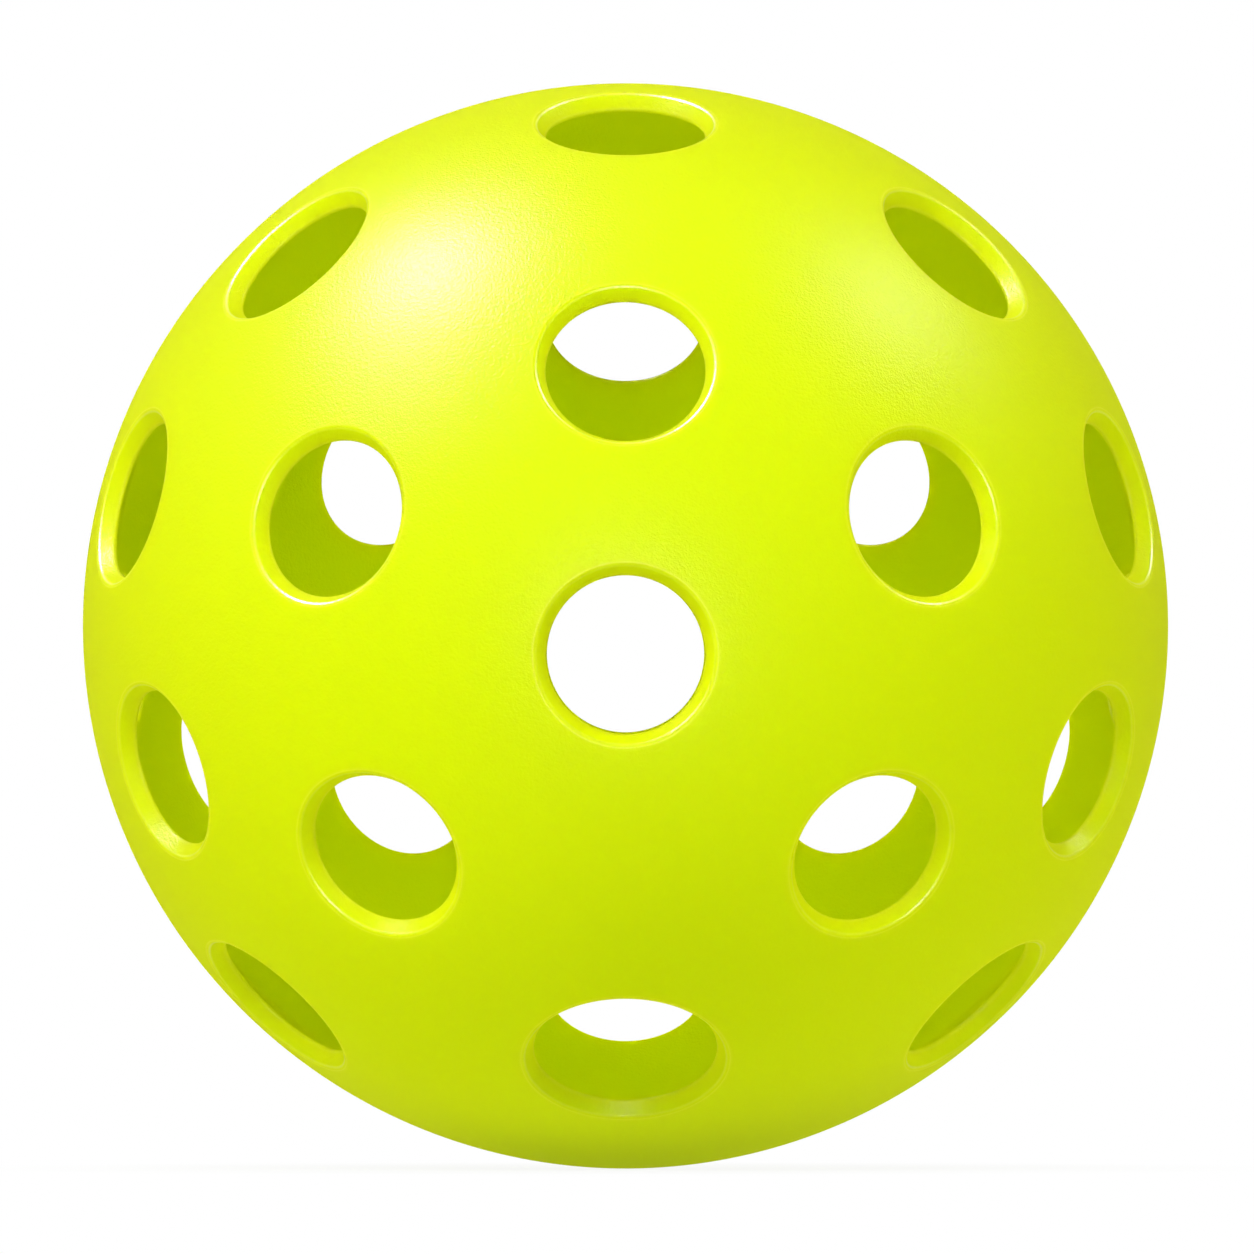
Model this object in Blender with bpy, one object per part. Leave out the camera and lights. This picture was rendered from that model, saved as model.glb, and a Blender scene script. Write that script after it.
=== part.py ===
"""Pickleball: two moulded half shells full of round holes, joined by a weld at the equator.

Metres, +Z up, origin at the centre of the ball. The moulding axis is Y: the front half faces -Y,
the rear half faces +Y, and the halves part in the XZ plane. A stepped lap joint centres one half
on the other, and the weld bead lies inside the ball, over the end of the lap.
"""

import math

import bmesh
import bpy
from mathutils import Matrix, Vector

MM = 0.001

# The two half shells
BALL_DIAMETER = 74.0 * MM
WALL = 1.3 * MM

# The stepped lap joint and its weld
SEAM_GAP = 0.3 * MM  # clearance between the halves, and from the weld bead to the wall
LAP_LENGTH = 1.3 * MM  # how far the front half's lip reaches into the rear half
BEAD_WIDTH = 1.8 * MM
BEAD_HEIGHT = 0.45 * MM

# Every hole is a cone that narrows inwards, square to the shell, with a rounded rim.
# A mouth is a hole's diameter at the outer surface, before the rim is rounded.
HOLE_MOUTH = 12.2 * MM
WIDE_HOLE_MOUTH = 13.8 * MM  # the low hole in the middle of the front half
HOLE_TAPER = 1.7 * MM  # how much narrower a hole is at the inner surface
RIM_RADIUS = 0.4 * MM

# Holes of each half: degrees from its pole, degrees round from the top, and the mouth.
# A hole that is off the middle plane has a twin on the other side of it.
FRONT_HOLES = (
    (3.1, 180.0, HOLE_MOUTH),
    (29.0, 0.0, HOLE_MOUTH),
    (36.1, 69.7, HOLE_MOUTH),
    (38.5, 132.8, HOLE_MOUTH),
    (53.9, 180.0, WIDE_HOLE_MOUTH),
    (69.4, 0.0, HOLE_MOUTH),
    (67.7, 41.5, HOLE_MOUTH),
    (71.9, 75.4, HOLE_MOUTH),
    (64.5, 107.4, HOLE_MOUTH),
    (74.2, 137.4, HOLE_MOUTH),
)
REAR_HOLES = (
    (3.1, 180.0, HOLE_MOUTH),
    (36.6, 0.0, HOLE_MOUTH),
    (33.0, 56.3, HOLE_MOUTH),
    (31.5, 124.4, HOLE_MOUTH),
    (53.1, 108.0, HOLE_MOUTH),
    (44.0, 180.0, HOLE_MOUTH),
    (74.0, 20.0, HOLE_MOUTH),
    (61.0, 63.5, HOLE_MOUTH),
    (76.0, 93.0, HOLE_MOUTH),
    (57.0, 142.0, HOLE_MOUTH),
    (75.5, 165.0, HOLE_MOUTH),
)
MIDDLE_PLANE = (0.0, 180.0)

# Facets
SHELL_STEPS = 56  # round the moulding axis
SHELL_RINGS = 13  # from pole to seam
HOLE_STEPS = 24
RIM_STEPS = 3
BEAD_STEPS = 5

BALL_RADIUS = BALL_DIAMETER / 2
INNER_RADIUS = BALL_RADIUS - WALL
LIP_THICKNESS = (WALL - SEAM_GAP) / 2
LIP_OUTER_RADIUS = INNER_RADIUS + LIP_THICKNESS
SKIRT_INNER_RADIUS = LIP_OUTER_RADIUS + SEAM_GAP
SHOULDER = LAP_LENGTH + SEAM_GAP  # where the rear half's rebate ends, from the parting plane
PLUG_REACH = WALL  # how far a hole's cutter stands out of the wall at each end

# Colours are linear, as the shader reads them
SHELL_COLOUR = (0.79, 0.95, 0.004, 1.0)
WELD_COLOUR = (0.66, 0.82, 0.004, 1.0)

UPRIGHT = math.radians(90)  # turns a shell's own pole from +Z to -Y
HALF_TURN = math.radians(180)


def clear_scene():
    for obj in list(bpy.data.objects):
        bpy.data.objects.remove(obj, do_unlink=True)


def plastic(name, colour, roughness):
    material = bpy.data.materials.new(name)
    material.use_nodes = True
    shader = material.node_tree.nodes["Principled BSDF"]
    shader.inputs["Base Color"].default_value = colour
    shader.inputs["Roughness"].default_value = roughness
    shader.inputs["Metallic"].default_value = 0.0
    return material


def circle_height(radius, across):
    """How far from the centre of a sphere a circle of the half-width across lies on it."""
    return math.sqrt(radius**2 - across**2)


def meridian(radius, first, last, rings):
    """Points (r, z) of a sphere's meridian between two angles from the pole."""
    turns = [first + (last - first) * i / rings for i in range(rings + 1)]
    return [(radius * math.sin(turn), radius * math.cos(turn)) for turn in turns]


def rounded_corner(corner, before, after, radius, steps):
    """Points of the arc that rounds a corner between the unit directions before and after."""
    turn = before.angle(after)
    middle = (after - before).normalized()
    centre = corner + middle * radius / math.cos(turn / 2)
    start = corner - before * radius * math.tan(turn / 2) - centre
    sense = 1 if before.cross(after) > 0 else -1
    spins = [Matrix.Rotation(sense * turn * i / steps, 2) for i in range(steps + 1)]
    return [centre + spin @ start for spin in spins]


def revolved(profile, steps, closed):
    """A bmesh of the profile (r, z) turned about Z; an open profile starts and ends on the axis."""
    turned = bmesh.new()
    points = [turned.verts.new((r, 0, z)) for r, z in profile]
    edges = [turned.edges.new(pair) for pair in zip(points, points[1:])]
    if closed:
        edges.append(turned.edges.new((points[-1], points[0])))
    bmesh.ops.spin(
        turned,
        geom=points + edges,
        axis=(0, 0, 1),
        cent=(0, 0, 0),
        steps=steps,
        angle=math.tau,
        use_merge=True,
    )
    bmesh.ops.remove_doubles(turned, verts=turned.verts, dist=MM / 1000)
    bmesh.ops.recalc_face_normals(turned, faces=turned.faces)
    return turned


def add_object(name, shape, rotation, parent):
    mesh = bpy.data.meshes.new(name)
    shape.to_mesh(mesh)
    shape.free()
    obj = bpy.data.objects.new(name, mesh)
    obj.rotation_euler = rotation
    obj.parent = parent
    bpy.context.scene.collection.objects.link(obj)
    return obj


def finish(obj, material):
    obj.data.materials.append(material)
    obj.data.shade_smooth()
    obj.data.set_sharp_from_angle(angle=math.radians(25))


def front_profile():
    """Wall of the front half, pole upwards, with the lip that goes into the rear half."""
    edge = math.acos(SEAM_GAP / 2 / BALL_RADIUS)
    outside = meridian(BALL_RADIUS, 0, edge, SHELL_RINGS)
    lip = [
        (LIP_OUTER_RADIUS, SEAM_GAP / 2),
        (LIP_OUTER_RADIUS, -LAP_LENGTH),
        (INNER_RADIUS, -LAP_LENGTH),
    ]
    inside = meridian(INNER_RADIUS, math.radians(90), 0, SHELL_RINGS)
    return outside + lip + inside


def rear_profile():
    """Wall of the rear half, pole upwards, with the rebate that takes the front half's lip."""
    edge = math.acos(SEAM_GAP / 2 / BALL_RADIUS)
    outside = meridian(BALL_RADIUS, 0, edge, SHELL_RINGS)
    rebate = [
        (SKIRT_INNER_RADIUS, SEAM_GAP / 2),
        (SKIRT_INNER_RADIUS, SHOULDER),
    ]
    inside = meridian(INNER_RADIUS, math.acos(SHOULDER / INNER_RADIUS), 0, SHELL_RINGS)
    return outside + rebate + inside


def bead_profile():
    """Section of the weld bead: its back follows the wall, its face bulges into the ball."""
    back = INNER_RADIUS - SEAM_GAP
    centre = -(LAP_LENGTH + SEAM_GAP / 2)
    bulge = []
    for i in range(BEAD_STEPS + 1):
        turn = math.pi * i / BEAD_STEPS
        across = BEAD_WIDTH / 2 * math.cos(turn)
        bulge.append((back - BEAD_HEIGHT * math.sin(turn), centre + across))
    return bulge


def plug_profile(mouth_diameter):
    """Section of a hole's cutter along the hole's axis, from the ball's centre outwards."""
    mouth_radius = mouth_diameter / 2
    throat_radius = mouth_radius - HOLE_TAPER / 2
    mouth = Vector((mouth_radius, circle_height(BALL_RADIUS, mouth_radius)))
    throat = Vector((throat_radius, circle_height(INNER_RADIUS, throat_radius)))
    bore = (mouth - throat).normalized()
    surface = Vector((mouth.y, -mouth.x)).normalized()
    rim = rounded_corner(mouth, bore, surface, RIM_RADIUS, RIM_STEPS)[:-1]
    flare = (rim[-1] - rim[-2]).normalized()
    inner_end = throat - bore * PLUG_REACH
    outer_end = rim[-1] + flare * PLUG_REACH
    lid = outer_end.y + PLUG_REACH
    return [
        (0, inner_end.y),
        tuple(inner_end),
        *[tuple(point) for point in rim],
        tuple(outer_end),
        (outer_end.x, lid),
        (0, lid),
    ]


def hole_axes(polar, clock):
    """Outward directions of a hole and its twin, where the half's pole is +Z and its top +Y."""
    sides = (1,) if clock in MIDDLE_PLANE else (1, -1)
    out = math.sin(math.radians(polar))
    across = out * math.sin(math.radians(clock))
    up = out * math.cos(math.radians(clock))
    return [Vector((side * across, up, math.cos(math.radians(polar)))) for side in sides]


def hole_plugs(layout):
    """One bmesh with the cutter of every hole of a half."""
    plugs = bmesh.new()
    for polar, clock, mouth in layout:
        for axis in hole_axes(polar, clock):
            plug = revolved(plug_profile(mouth), HOLE_STEPS, closed=False)
            plug.transform(axis.to_track_quat("Z", "Y").to_matrix().to_4x4())
            mesh = bpy.data.meshes.new("hole_plug")
            plug.to_mesh(mesh)
            plug.free()
            plugs.from_mesh(mesh)
            bpy.data.meshes.remove(mesh)
    return plugs


def half_shell(name, profile, layout, rotation, parent, material):
    shell = add_object(name, revolved(profile, SHELL_STEPS, closed=False), rotation, parent)
    cutter = add_object(f"{name}_holes", hole_plugs(layout), rotation, parent)
    cutter.hide_render = True
    cutter.display_type = "WIRE"
    cut = shell.modifiers.new("holes", "BOOLEAN")
    cut.operation = "DIFFERENCE"
    cut.solver = "EXACT"
    cut.object = cutter
    finish(shell, material)
    return shell


def weld_bead(rotation, parent, material):
    bead = revolved(bead_profile(), SHELL_STEPS, closed=True)
    obj = add_object("seam_weld", bead, rotation, parent)
    finish(obj, material)
    return obj


def main():
    clear_scene()
    ball = bpy.data.objects.new("pickleball", None)
    bpy.context.scene.collection.objects.link(ball)
    facing_front = (UPRIGHT, 0, 0)
    facing_rear = (UPRIGHT, 0, HALF_TURN)
    front = plastic("front_shell_plastic", SHELL_COLOUR, 0.36)
    rear = plastic("rear_shell_plastic", SHELL_COLOUR, 0.36)
    weld = plastic("weld_plastic", WELD_COLOUR, 0.45)
    half_shell("front_half_shell", front_profile(), FRONT_HOLES, facing_front, ball, front)
    half_shell("rear_half_shell", rear_profile(), REAR_HOLES, facing_rear, ball, rear)
    weld_bead(facing_front, ball, weld)


main()
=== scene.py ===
import itertools
import math

import bpy
import numpy as np
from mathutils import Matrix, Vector


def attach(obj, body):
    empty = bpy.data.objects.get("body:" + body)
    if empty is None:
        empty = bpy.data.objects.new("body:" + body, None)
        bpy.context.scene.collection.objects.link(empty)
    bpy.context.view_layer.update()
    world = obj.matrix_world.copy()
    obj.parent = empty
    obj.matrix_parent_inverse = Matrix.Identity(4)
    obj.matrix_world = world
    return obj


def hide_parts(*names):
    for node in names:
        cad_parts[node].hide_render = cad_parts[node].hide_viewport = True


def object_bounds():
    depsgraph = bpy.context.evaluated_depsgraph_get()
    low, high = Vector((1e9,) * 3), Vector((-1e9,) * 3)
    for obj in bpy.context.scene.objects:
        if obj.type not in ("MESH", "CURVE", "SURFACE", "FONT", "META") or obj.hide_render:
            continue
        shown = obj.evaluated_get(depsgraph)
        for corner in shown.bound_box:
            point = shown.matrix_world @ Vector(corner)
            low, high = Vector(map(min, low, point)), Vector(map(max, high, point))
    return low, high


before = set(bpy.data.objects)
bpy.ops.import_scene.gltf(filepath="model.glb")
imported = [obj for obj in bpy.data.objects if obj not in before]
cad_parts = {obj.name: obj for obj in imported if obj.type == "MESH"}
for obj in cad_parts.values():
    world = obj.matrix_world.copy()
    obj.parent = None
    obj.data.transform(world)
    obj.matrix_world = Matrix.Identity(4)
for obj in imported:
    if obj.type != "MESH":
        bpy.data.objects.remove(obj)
cadBox = [list(corner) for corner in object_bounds()]  # the CAD model's box, before anything is dressed
mm = 0.001
print("frame loaded:", ", ".join(sorted(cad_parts)))

ball = {
    "radius": (cadBox[1][0] - cadBox[0][0]) / 2,
    "wall": 1.3 * mm,
    "columnStep": math.radians(1.2),  # arc between two columns along the border of a hole's field
    "sharpAngle": math.radians(35),
}
outerRadius = ball["radius"]
innerRadius = ball["radius"] - ball["wall"]
samePoint = 1e-6  # directions that lie closer than this are one
roundOff = 1e-9


# vectors scaled to a length of 1
def unit(vectors):
    return vectors / np.linalg.norm(vectors, axis=-1, keepdims=True)


# arc of a circle in a section plane: centre plus radius times (cosine, sine) of evenly spaced angles
def arcPoints(centre, radius, first, last, steps):
    turn = np.linspace(first, last, steps + 1)
    return centre + radius * np.stack([np.cos(turn), np.sin(turn)], axis=1)


# great-circle steps between unit vectors: each end weighted by the sine of the turn left to it
def greatCircle(start, end, shares):
    turn = np.arccos(np.clip(np.sum(start * end, axis=-1, keepdims=True), -1, 1))
    shares = np.asarray(shares).reshape(-1, *[1] * np.ndim(start))
    return (np.sin((1 - shares) * turn) * start + np.sin(shares * turn) * end) / np.sin(turn)


# grids of points with their painted highlight and gloss, each closed round its columns, become one mesh of
# quads with the points that they share merged
def meshFromGrids(name, grids):
    points, quads, count = [], [], 0
    for grid in grids:
        rows, columns = grid.shape[:2]
        index = count + np.arange(rows * columns).reshape(rows, columns)
        after = np.roll(index, -1, axis=1)
        quads.append(np.stack([index[:-1], after[:-1], after[1:], index[1:]], axis=-1).reshape(-1, 4))
        points.append(grid.reshape(-1, 5))
        count += rows * columns
    points, quads = np.concatenate(points), np.concatenate(quads)
    nanometres = np.round(points[:, :3] * 1e9).astype(np.int64)
    first, merged = np.unique(nanometres, axis=0, return_index=True, return_inverse=True)[1:]
    points, quads = points[first], merged.reshape(-1)[quads]
    mesh = bpy.data.meshes.new(name)
    mesh.vertices.add(len(points))
    mesh.vertices.foreach_set("co", points[:, :3].astype(np.float32).ravel())
    mesh.loops.add(quads.size)
    mesh.loops.foreach_set("vertex_index", quads.astype(np.int32).ravel())
    mesh.polygons.add(len(quads))
    mesh.polygons.foreach_set("loop_start", np.arange(0, quads.size, 4, dtype=np.int32))
    mesh.update(calc_edges=True)
    mesh.validate()
    # the first extra column is a painted highlight along rims and throats, the second the coat's gloss
    for kind, values in zip(("paintedHighlight", "gloss"), points[:, 3:].T):
        attribute = mesh.attributes.new(kind, "FLOAT", "POINT")
        attribute.data.foreach_set("value", values.astype(np.float32))
    mesh.shade_smooth()
    mesh.set_sharp_from_angle(angle=ball["sharpAngle"])
    piece = bpy.data.objects.new(name, mesh)
    bpy.context.scene.collection.objects.link(piece)
    print(name, "has", len(points), "points and", len(quads), "quads")
    return piece


# two more columns for a grid: how much painted highlight and how much gloss each row of it has
def withFinish(grid, paintedHighlight=0.0, shine=0.0):
    rows = [np.broadcast_to(np.reshape(row, (-1, 1, 1)), (*grid.shape[:2], 1)) for row in (paintedHighlight, shine)]
    return np.concatenate([grid, *rows], axis=-1)


# the edge of one hole

hole = {
    "mouth": 12.2 * mm,  # across the cone where it meets the skin, before the rim is rounded
    "wideMouth": 13.8 * mm,
    "taper": 1.7 * mm,  # how much narrower the cone is where it meets the lining
    "rimRound": 0.4 * mm,
    "throatRound": 0.2 * mm,
    "skinRows": 13,
    "rimRows": 10,
    "boreRows": 6,
    "throatRows": 5,
    "liningRows": 9,
    "skinCrowding": 1.5,  # powers by which rows crowd towards the hole
    "liningCrowding": 1.4,
    "paintedHighlightLine": (0.1, 0.1),  # place and spread along the rim's round of the painted highlight line
    "polish": (0.7, 0.2),
    # strength of the painted highlight where the throat's round begins
    "throatPaintedHighlight": 0.5,
}
gloss = {"skin": 0.05, "paintedHighlight": 0.08, "polish": 0.45}  # weights of a glossy coat; the lining has none


# section of a hole's edge as (distance from the hole's axis, height along it): an arc that touches
# the skin and the cone, the straight cone, and an arc that touches the cone and the lining
def holeSection(mouthAcross):
    mouthRadius = mouthAcross / 2
    throatRadius = mouthRadius - hole["taper"] / 2
    mouth = np.array([mouthRadius, math.sqrt(outerRadius**2 - mouthRadius**2)])
    throat = np.array([throatRadius, math.sqrt(innerRadius**2 - throatRadius**2)])
    slope = unit(mouth - throat)
    intoPlastic = np.array([slope[1], -slope[0]])

    def roundCentre(roundRadius, sphereRadius):  # the cone's line, moved into the plastic, meets a sphere
        base = throat + intoPlastic * roundRadius
        along = base @ slope
        return base + slope * (math.sqrt(along**2 - base @ base + sphereRadius**2) - along)

    rimCentre = roundCentre(hole["rimRound"], outerRadius - hole["rimRound"])
    throatCentre = roundCentre(hole["throatRound"], innerRadius + hole["throatRound"])
    skinward = math.atan2(rimCentre[1], rimCentre[0])
    boreward = math.atan2(-intoPlastic[1], -intoPlastic[0])
    liningward = math.atan2(throatCentre[1], throatCentre[0]) + math.pi
    rim = arcPoints(rimCentre, hole["rimRound"], skinward, boreward, hole["rimRows"])
    inner = arcPoints(throatCentre, hole["throatRound"], boreward, liningward, hole["throatRows"])
    shares = np.linspace(0, 1, hole["boreRows"] + 1)[1:-1, None]
    bore = rim[-1] * (1 - shares) + inner[0] * shares
    return np.concatenate([rim, bore, inner])


# painted highlight and gloss of each row of a hole's sheet: bell curves along the rim's round for the
# painted highlight line and for the polish, and a painted highlight that fades over the throat
def holeFinish():
    share = np.linspace(0, 1, hole["rimRows"] + 1)
    bells = hole["paintedHighlightLine"], hole["polish"]
    line, polish = [np.exp(-(((share - place) / spread) ** 2)) for place, spread in bells]
    throat = np.linspace(1, 0, hole["throatRows"] + 1)
    skin, bore, lining = (np.zeros(hole[rows]) for rows in ("skinRows", "boreRows", "liningRows"))
    # painted highlight: a pale line on the rim's round and a fade over the throat
    paintedHighlight = np.concatenate([skin, line, bore[1:], hole["throatPaintedHighlight"] * throat, lining])
    rim = np.maximum(gloss["skin"], np.maximum(gloss["paintedHighlight"] * line, gloss["polish"] * polish))
    outside = [skin + gloss["skin"], rim, bore[1:] + gloss["skin"]]
    return paintedHighlight, np.concatenate([*outside, gloss["skin"] * throat, lining])


# one hole's sheet: columns round the hole, rows from the border of its field over the skin, the
# section and the lining
def holeSheet(axis, outerBorder, innerBorder, section):
    border = unit(outerBorder + innerBorder)
    bearing = unit(border - (border @ axis)[:, None] * axis)
    edge = section[:, 0, None, None] * bearing + section[:, 1, None, None] * axis
    skinShares = 1 - np.linspace(1, 0, hole["skinRows"] + 1)[:-1] ** hole["skinCrowding"]
    liningShares = np.linspace(0, 1, hole["liningRows"] + 1)[1:] ** hole["liningCrowding"]
    skin = outerRadius * greatCircle(outerBorder, unit(edge[0]), skinShares)
    lining = innerRadius * greatCircle(unit(edge[-1]), innerBorder, liningShares)
    skin[0] = outerRadius * outerBorder
    lining[-1] = innerRadius * innerBorder
    return withFinish(np.concatenate([skin, edge, lining]), *holeFinish())


# the fields of skin round the holes of a half

# outward directions of a half's holes; a hole off the middle plane has a twin
def holeAxes(layout, facing):
    middlePlane = (0, 180)  # degrees round from the top
    sides = [(1,) if clock in middlePlane else (1, -1) for polar, clock in layout]
    angles = [(polar, side * clock) for (polar, clock), pair in zip(layout, sides) for side in pair]
    polar, clock = np.radians(np.array(angles, float)).T
    across, up = np.sin(polar) * np.sin(clock), np.sin(polar) * np.cos(clock)
    return np.stack([across, facing * np.cos(polar), up], axis=1)


# corners where fields meet: centres of the caps that pass through three seeds and hold no other
def fieldCorners(seeds):
    one, two, three = np.array(list(itertools.combinations(range(len(seeds)), 3))).T
    centres = unit(np.cross(seeds[two] - seeds[one], seeds[three] - seeds[one]))
    height = np.sum(centres * seeds[one], axis=1)
    centres, height = centres * np.sign(height)[:, None], np.abs(height)
    centres = centres[(height > samePoint) & ((centres @ seeds.T).max(axis=1) < height + roundOff)]
    centres[np.abs(centres) < roundOff] = 0  # corners at the seam lie in the parting plane
    apart = np.linalg.norm(centres[:, None] - centres[None], axis=2)
    return centres[(apart < samePoint).argmax(axis=1) == np.arange(len(centres))]


# borders between fields: arcs in equal steps between the two corners that a pair of seeds shares
def fieldBorders(seeds):
    corners = fieldCorners(seeds)
    reach = corners @ seeds.T
    touches = reach > reach.max(axis=1, keepdims=True) - samePoint
    borders = {}
    for pair in itertools.combinations(range(len(seeds)), 2):
        ends = corners[touches[:, pair[0]] & touches[:, pair[1]]]
        if len(ends) != 2:
            continue
        steps = max(2, math.ceil(math.acos(ends[0] @ ends[1]) / ball["columnStep"]))
        arc = greatCircle(ends[0], ends[1], np.linspace(0, 1, steps + 1))
        arc[0], arc[-1] = ends
        borders[pair] = arc
    return borders


# the points of several borders in order of their bearing about an axis, each corner once
def ordered(arcs, axis):
    points = np.concatenate(arcs)
    slant = (0.31, 0.47, 0.83)  # no axis lies along it
    side = unit(np.cross(axis, slant))
    bearing = np.arctan2(points @ np.cross(axis, side), points @ side)
    points = points[np.argsort(bearing)]
    fresh = np.linalg.norm(points - np.roll(points, 1, axis=0), axis=1) > samePoint
    return points[fresh]


# the stepped lap joint at the seam

seam = {
    "gap": 0.06 * mm,  # the fine line that shows between the halves
    "edgeRound": 0.14 * mm,
    "edgeRows": 5,
    "lapClearance": 0.3 * mm,
    "lapLength": 1.3 * mm,
    "liftBand": 0.25,  # share of the radius, from the parting plane, over which borders give way to the lap
}
lipThickness = (ball["wall"] - seam["lapClearance"]) / 2
lipRadius = innerRadius + lipThickness
skirtRadius = lipRadius + seam["lapClearance"]
shoulder = seam["lapLength"] + seam["lapClearance"]
seamHeight = seam["gap"] / 2 + seam["edgeRound"]  # where the skin of a half ends, above the parting plane

# sections as (distance from the moulding axis, height above the parting plane towards the half's own pole)
edgeCentre = np.array([outerRadius - seam["edgeRound"], seamHeight])
roundedEdge = arcPoints(edgeCentre, seam["edgeRound"], 0, -math.pi / 2, seam["edgeRows"])[1:]
lipSection = [
    (lipRadius, seam["gap"] / 2),
    (lipRadius, -seam["lapLength"]),
    (innerRadius, -seam["lapLength"]),
]
rebateSection = [(skirtRadius, seam["gap"] / 2), (skirtRadius, shoulder)]


# border points move along their meridians: those in the parting plane to a height above it, and those
# further up by less and less, so that they keep their order
def offTheSeam(points, facing, height):
    above = facing * points[:, 1:2]
    lifted = above + height * np.clip(1 - above / seam["liftBand"], 0, 1)
    level = points * (1, 0, 1) * np.sqrt((1 - lifted**2) / (1 - above**2))
    return level + lifted * np.array([0, facing, 0])


# a half's edge: a section carried round the moulding axis, between the ends of its skin and of its lining
def seamSheet(outerBorder, innerBorder, section, facing):
    spoke = unit(outerBorder * (1, 0, 1))
    section = np.concatenate([roundedEdge, section])
    step = section[:, 0, None, None] * spoke + section[:, 1, None, None] * np.array([0, facing, 0])
    rows = [(innerRadius * innerBorder)[None], step[::-1], (outerRadius * outerBorder)[None]]
    return withFinish(np.concatenate(rows), shine=gloss["skin"])


halfShells = {
    "front_shell": {
        "node": "front_half_shell",
        "facing": -1,  # its pole lies towards -Y
        "edge": lipSection,
        "liningHeight": 0.0,
        "holes": {  # degrees from the pole, degrees round from the top
            "mouth": (
                (3.1, 180), (29, 0), (36.1, 69.7), (38.5, 132.8), (69.4, 0),
                (67.7, 41.5), (71.9, 75.4), (64.5, 107.4), (74.2, 137.4),
            ),
            "wideMouth": ((53.9, 180),),
        },
    },
    "rear_shell": {
        "node": "rear_half_shell",
        "facing": 1,
        "edge": rebateSection,
        "liningHeight": shoulder,
        "holes": {
            "mouth": (
                (3.1, 180), (36.6, 0), (33, 56.3), (31.5, 124.4), (53.1, 108), (44, 180),
                (74, 20), (61, 63.5), (76, 93), (57, 142), (75.5, 165),
            ),
        },
    },
}


# a half shell: a sheet for each hole's field, and a sheet for the edge at the seam
def halfShell(name, shape):
    facing = shape["facing"]
    groups = {size: holeAxes(layout, facing) for size, layout in shape["holes"].items()}
    sections = [holeSection(hole[size]) for size, group in groups.items() for axis in group]
    axes = np.concatenate(list(groups.values()))
    mirrored = axes * (1, -1, 1)  # seeds across the seam, so that fields end in the parting plane
    borders = fieldBorders(np.concatenate([axes, mirrored]))
    heights = seamHeight / outerRadius, shape["liningHeight"] / innerRadius  # where skin and lining end
    sheets = []
    for number, axis in enumerate(axes):
        border = ordered([arc for pair, arc in borders.items() if number in pair], axis)
        outer, inner = [offTheSeam(border, facing, height) for height in heights]
        sheets.append(holeSheet(axis, outer, inner, sections[number]))
    seamArcs = [arc for (one, two), arc in borders.items() if two == one + len(axes)]
    border = ordered(seamArcs, np.array([0.0, facing, 0.0]))
    outer, inner = [offTheSeam(border, facing, height) for height in heights]
    sheets.append(seamSheet(outer, inner, shape["edge"], facing))
    piece = meshFromGrids(name, sheets)
    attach(piece, "root")
    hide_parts(shape["node"])
    return piece


shells = [halfShell(name, shape) for name, shape in halfShells.items()]

# the weld bead inside the seam

weld = {
    "width": 1.8 * mm,
    "height": 0.7 * mm,
    "sunk": 0.05 * mm,  # how far its back is melted into the wall
    "place": 1.45 * mm,  # behind the parting plane
    "ripple": 0.16,  # share by which it swells and thins
    "drift": 0.12 * mm,
    "swellWaves": ((1, 9, 0.4), (1, 23, 2.1), (0.6, 61, 4.0)),  # height, number round the seam, phase
    "swayWaves": ((1, 5, 1.3), (0.5, 17, 0)),
    "columns": 720,
    "rows": 18,
}


# sum of sine waves round the seam
def seamWaves(turn, waves):
    return sum(height * np.sin(number * turn + phase) for height, number, phase in waves)


# a bead: half an ellipse on the wall, carried round the seam while three slow waves swell it and two sway it
def weldBead():
    turn = np.linspace(0, math.tau, weld["columns"], endpoint=False)
    fullSwell = sum(height for height, number, phase in weld["swellWaves"])
    swell = 1 + weld["ripple"] * seamWaves(turn, weld["swellWaves"]) / fullSwell
    sway = weld["drift"] * seamWaves(turn, weld["swayWaves"])
    across = np.linspace(0, math.pi, weld["rows"])[:, None]
    reach = innerRadius + weld["sunk"] - weld["height"] * swell * np.sin(across)
    along = weld["place"] + sway + weld["width"] / 2 * np.cos(across) * np.sqrt(swell)
    grid = np.stack([reach * np.sin(turn), along + 0 * turn, reach * np.cos(turn)], axis=-1)
    return withFinish(np.concatenate([grid, grid[:1]]))


bead = meshFromGrids("weld_bead", [weldBead()])
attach(bead, "root")
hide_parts("seam_weld")

# materials

plastic = {
    "tint": (0.775, 0.925, 0.003, 1),
    "deepTint": (0.753, 0.905, 0.002, 1),
    # paler tint that paints highlight lines on the rims and throats
    "paintedHighlightTint": (0.84, 0.97, 0.03, 1),
    "liningPaintedLightTint": (0.83, 0.955, 0.004, 1),  # a paler, yellower copy of the tint for the inside: painted light that lifts the shade inside the ball
    "flow": (38, 3),  # scale and detail of a noise, as for the peel and the grain
    "roughness": (0.50, 0.60),
    "glossRoughness": 0.33,
    "subsurface": 1.0,
    "subsurfaceReach": 1.2 * mm,
    "subsurfaceRadius": (1, 1, 0.1),  # blue light is soaked up soon
    "peel": (4500, 2),
    "peelDepth": 0.03 * mm,
    "grain": (9000, 1),
    "grainShare": 0.35,  # depth of the grain, as a share of the peel's
}


# a node with its inputs or its own settings filled in by name
def addNode(tree, kind, **values):
    node = tree.nodes.new(kind)
    for name, value in values.items():
        if name in node.inputs:
            node.inputs[name].default_value = value
        else:
            setattr(node, name, value)
    return node
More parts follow.
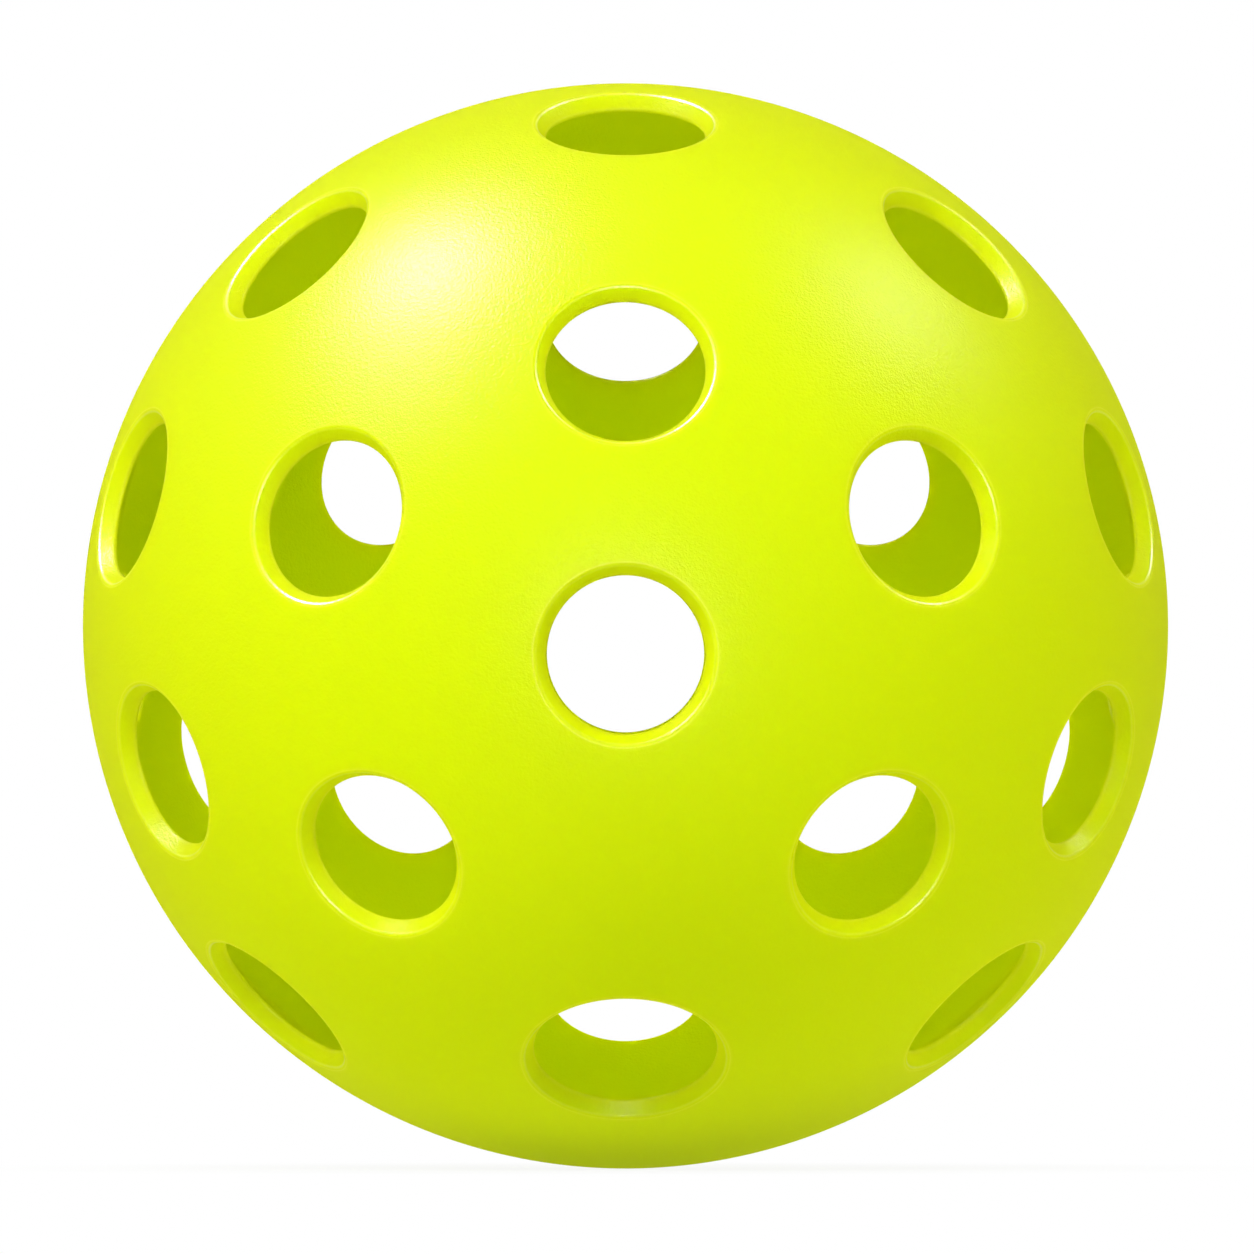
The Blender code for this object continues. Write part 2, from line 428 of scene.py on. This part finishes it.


# satin plastic that lets light in: two tints in slow streaks, a paler, yellower inside that paints light
# into its shade, pale lines of painted highlight on the rims, a coat as glossy as the piece says, and the
# fine bumps that the mould leaves
def shellPlastic(name, settings):
    material = bpy.data.materials.new(name)
    material.use_nodes = True
    tree = material.node_tree
    link = tree.links.new
    shader = tree.nodes["Principled BSDF"]
    place = addNode(tree, "ShaderNodeTexCoord").outputs["Object"]

    def noise(scale, detail):
        node = addNode(tree, "ShaderNodeTexNoise", Scale=scale, Detail=detail)
        link(place, node.inputs["Vector"])
        return node.outputs["Fac"]

    def blend(factor, first, second):
        node = addNode(tree, "ShaderNodeMixRGB")
        link(factor, node.inputs["Fac"])
        for socket, colour in (("Color1", first), ("Color2", second)):
            if isinstance(colour, tuple):
                node.inputs[socket].default_value = colour
            else:
                link(colour, node.inputs[socket])
        return node.outputs["Color"]

    flow = noise(*settings["flow"])
    # where the pale tint paints highlight lines on the rims and throats
    paintedHighlight = addNode(tree, "ShaderNodeAttribute", attribute_name="paintedHighlight").outputs["Fac"]
    depth = addNode(tree, "ShaderNodeVectorMath", operation="LENGTH")
    link(place, depth.inputs[0])
    outside = addNode(tree, "ShaderNodeMapRange", **{"From Min": innerRadius, "From Max": outerRadius})
    link(depth.outputs["Value"], outside.inputs["Value"])
    skin = blend(flow, settings["tint"], settings["deepTint"])
    # towards the lining the tint turns paler and yellower: painted light in the shade inside the ball
    tint = blend(paintedHighlight, blend(outside.outputs["Result"], settings["liningPaintedLightTint"], skin), settings["paintedHighlightTint"])
    link(tint, shader.inputs["Base Color"])
    weight = addNode(tree, "ShaderNodeAttribute", attribute_name="gloss").outputs["Fac"]
    link(weight, shader.inputs["Coat Weight"])

    relief = addNode(tree, "ShaderNodeMath", operation="MULTIPLY_ADD")
    link(noise(*settings["grain"]), relief.inputs[0])
    relief.inputs[1].default_value = settings["grainShare"]
    link(noise(*settings["peel"]), relief.inputs[2])
    bump = addNode(tree, "ShaderNodeBump", Strength=1.0, Distance=settings["peelDepth"])
    link(relief.outputs[0], bump.inputs["Height"])
    link(bump.outputs["Normal"], shader.inputs["Normal"])
    link(bump.outputs["Normal"], shader.inputs["Coat Normal"])

    rough = addNode(tree, "ShaderNodeMapRange")
    rough.inputs["To Min"].default_value, rough.inputs["To Max"].default_value = settings["roughness"]
    link(flow, rough.inputs["Value"])
    link(rough.outputs["Result"], shader.inputs["Roughness"])

    shader.inputs["Specular IOR Level"].default_value = 0.0
    shader.inputs["Coat Roughness"].default_value = settings["glossRoughness"]
    shader.inputs["Subsurface Weight"].default_value = settings["subsurface"]
    shader.inputs["Subsurface Radius"].default_value = settings["subsurfaceRadius"]
    shader.inputs["Subsurface Scale"].default_value = settings["subsurfaceReach"]
    return material


plasticFinish = shellPlastic("satin_yellow_plastic", plastic)
for shell in shells:
    shell.data.materials.append(plasticFinish)
bead.data.materials.append(shellPlastic("melted_yellow_plastic", plastic | {"peelDepth": 0.01 * mm}))
print("materials made")

# studio

studio = {
    "floorSide": 6.0,
    "floorColour": (0.5, 0.5, 0.5, 1),
    "floorGlow": 0.26,  # its own light, as on a light table
    "whiteNear": 0.8,  # share of plain white that the camera sees in the floor, under the ball
    "nearReach": 0.02,
    "whiteReach": 0.065,  # distance from the ball at which the floor is all white
    "ambient": 0.04,
    "distance": 1.2,  # from the ball to every lamp
    "fills": {  # soft lamps that stay out of the reflections
        "front_top_lamp": {"from": (0, -0.7, 0.7), "across": 0.6, "watts": 6.2},
        "front_left_lamp": {"from": (-0.6, -0.75, 0.3), "across": 0.5, "watts": 1.2},
        "high_left_lamp": {"from": (-0.55, -0.65, 0.7), "across": 0.5, "watts": 4.8},
        "left_lamp": {"from": (-1, -0.2, 0.35), "across": 0.5, "watts": 1.6},
        "right_lamp": {"from": (1, -0.15, 0.3), "across": 0.5, "watts": 3.4},
        "top_lamp": {"from": (0, 0, 1), "across": 0.6, "watts": 1.7},
        "back_lamp": {"from": (0, 1, 0.1), "across": 0.6, "watts": 11},
    },
    "shines": {  # lamps that show only as reflections: two for the skin, then two for the rims
        "key_shine": {"from": (-0.483, 0.095, 0.870), "across": 0.3, "watts": 220},
        "side_shine": {"from": (0.634, 0.152, 0.758), "across": 0.3, "watts": 40},
        "low_key_shine": {"from": (-0.632, -0.248, 0.727), "across": 0.4, "watts": 50},
        "front_shine": {"from": (0, -1, 0.02), "across": 0.1, "watts": 34},
    },
}


# 1 for what the camera sees, directly, mirrored or through something, and 0 for light on its way round
def seenByCamera(tree):
    path = addNode(tree, "ShaderNodeLightPath")
    seen = path.outputs["Is Camera Ray"]
    for kind in ("Is Glossy Ray", "Is Transmission Ray"):
        either = addNode(tree, "ShaderNodeMath", operation="MAXIMUM")
        tree.links.new(seen, either.inputs[0])
        tree.links.new(path.outputs[kind], either.inputs[1])
        seen = either.outputs[0]
    return seen


# a floor that keeps the shadow under the ball and fades to plain white away from it
def paperFloor():
    half = studio["floorSide"] / 2
    corners = [(x, y, -outerRadius) for x, y in ((-half, -half), (half, -half), (half, half), (-half, half))]
    mesh = bpy.data.meshes.new("floor")
    mesh.from_pydata(corners, [], [(0, 1, 2, 3)])
    floor = bpy.data.objects.new("floor", mesh)
    bpy.context.scene.collection.objects.link(floor)
    paper = bpy.data.materials.new("floor_paper")
    paper.use_nodes = True
    tree = paper.node_tree
    shader = tree.nodes["Principled BSDF"]
    shader.inputs["Base Color"].default_value = studio["floorColour"]
    shader.inputs["Specular IOR Level"].default_value = 0.0
    shader.inputs["Emission Color"].default_value = (1, 1, 1, 1)
    shader.inputs["Emission Strength"].default_value = studio["floorGlow"]
    place = addNode(tree, "ShaderNodeTexCoord")
    distance = addNode(tree, "ShaderNodeVectorMath", operation="LENGTH")
    tree.links.new(place.outputs["Object"], distance.inputs[0])
    fade = addNode(tree, "ShaderNodeMapRange", interpolation_type="SMOOTHSTEP")
    fade.inputs["From Min"].default_value = studio["nearReach"]
    fade.inputs["From Max"].default_value = studio["whiteReach"]
    fade.inputs["To Min"].default_value = studio["whiteNear"]
    tree.links.new(distance.outputs["Value"], fade.inputs["Value"])
    share = addNode(tree, "ShaderNodeMath", operation="MULTIPLY")
    tree.links.new(fade.outputs["Result"], share.inputs[0])
    tree.links.new(seenByCamera(tree), share.inputs[1])
    white = addNode(tree, "ShaderNodeEmission", Color=(1, 1, 1, 1), Strength=1.0)
    mix = addNode(tree, "ShaderNodeMixShader")
    tree.links.new(share.outputs[0], mix.inputs["Fac"])
    tree.links.new(shader.outputs[0], mix.inputs[1])
    tree.links.new(white.outputs[0], mix.inputs[2])
    tree.links.new(mix.outputs[0], tree.nodes["Material Output"].inputs["Surface"])
    mesh.materials.append(paper)


# white wherever the camera looks, and soft light from all round
def studioWorld():
    world = bpy.data.worlds.new("studio_world")
    world.use_nodes = True
    tree = world.node_tree
    strength = addNode(tree, "ShaderNodeMapRange")
    strength.inputs["To Min"].default_value = studio["ambient"]
    tree.links.new(seenByCamera(tree), strength.inputs["Value"])
    sky = tree.nodes["Background"]
    sky.inputs["Color"].default_value = (1, 1, 1, 1)
    tree.links.new(strength.outputs["Result"], sky.inputs["Strength"])
    bpy.context.scene.world = world


# a round lamp that faces the ball
def addLamp(name, settings):
    light = bpy.data.lights.new(name, "AREA")
    light.shape = "DISK"
    light.size = settings["across"]
    light.energy = settings["watts"]
    lamp = bpy.data.objects.new(name, light)
    away = Vector(settings["from"]).normalized()
    lamp.location = away * studio["distance"]
    lamp.rotation_euler = away.to_track_quat("Z", "Y").to_euler()
    bpy.context.scene.collection.objects.link(lamp)
    return lamp


paperFloor()
studioWorld()
for name, settings in studio["fills"].items():
    addLamp(name, settings).visible_glossy = False
for name, settings in studio["shines"].items():
    addLamp(name, settings).visible_diffuse = False
print("studio set")

# camera

camera = {
    "distance": 100.0,  # in ball radii: the view is a long way off
    "imageSide": 1254,
    "ballRadiusPixels": 542.7,
    "ballCentrePixels": (625.5, 625.9),
    "clipEnd": 30,
}
lens = bpy.data.cameras.new("photo_camera")
# tangent of half the view: the outline's own, times how much wider the image is than the ball
halfView = camera["imageSide"] / 2 / camera["ballRadiusPixels"] / math.sqrt(camera["distance"] ** 2 - 1)
lens.lens = lens.sensor_width / 2 / halfView
lens.shift_x = (camera["imageSide"] / 2 - camera["ballCentrePixels"][0]) / camera["imageSide"]
lens.shift_y = (camera["ballCentrePixels"][1] - camera["imageSide"] / 2) / camera["imageSide"]
lens.clip_end = camera["clipEnd"]
eye = bpy.data.objects.new("photo_camera", lens)
eye.location = (0, -camera["distance"] * outerRadius, 0)
eye.rotation_euler = (math.radians(90), 0, 0)
bpy.context.scene.collection.objects.link(eye)
bpy.context.scene.camera = eye
bpy.context.scene.view_settings.view_transform = "Standard"
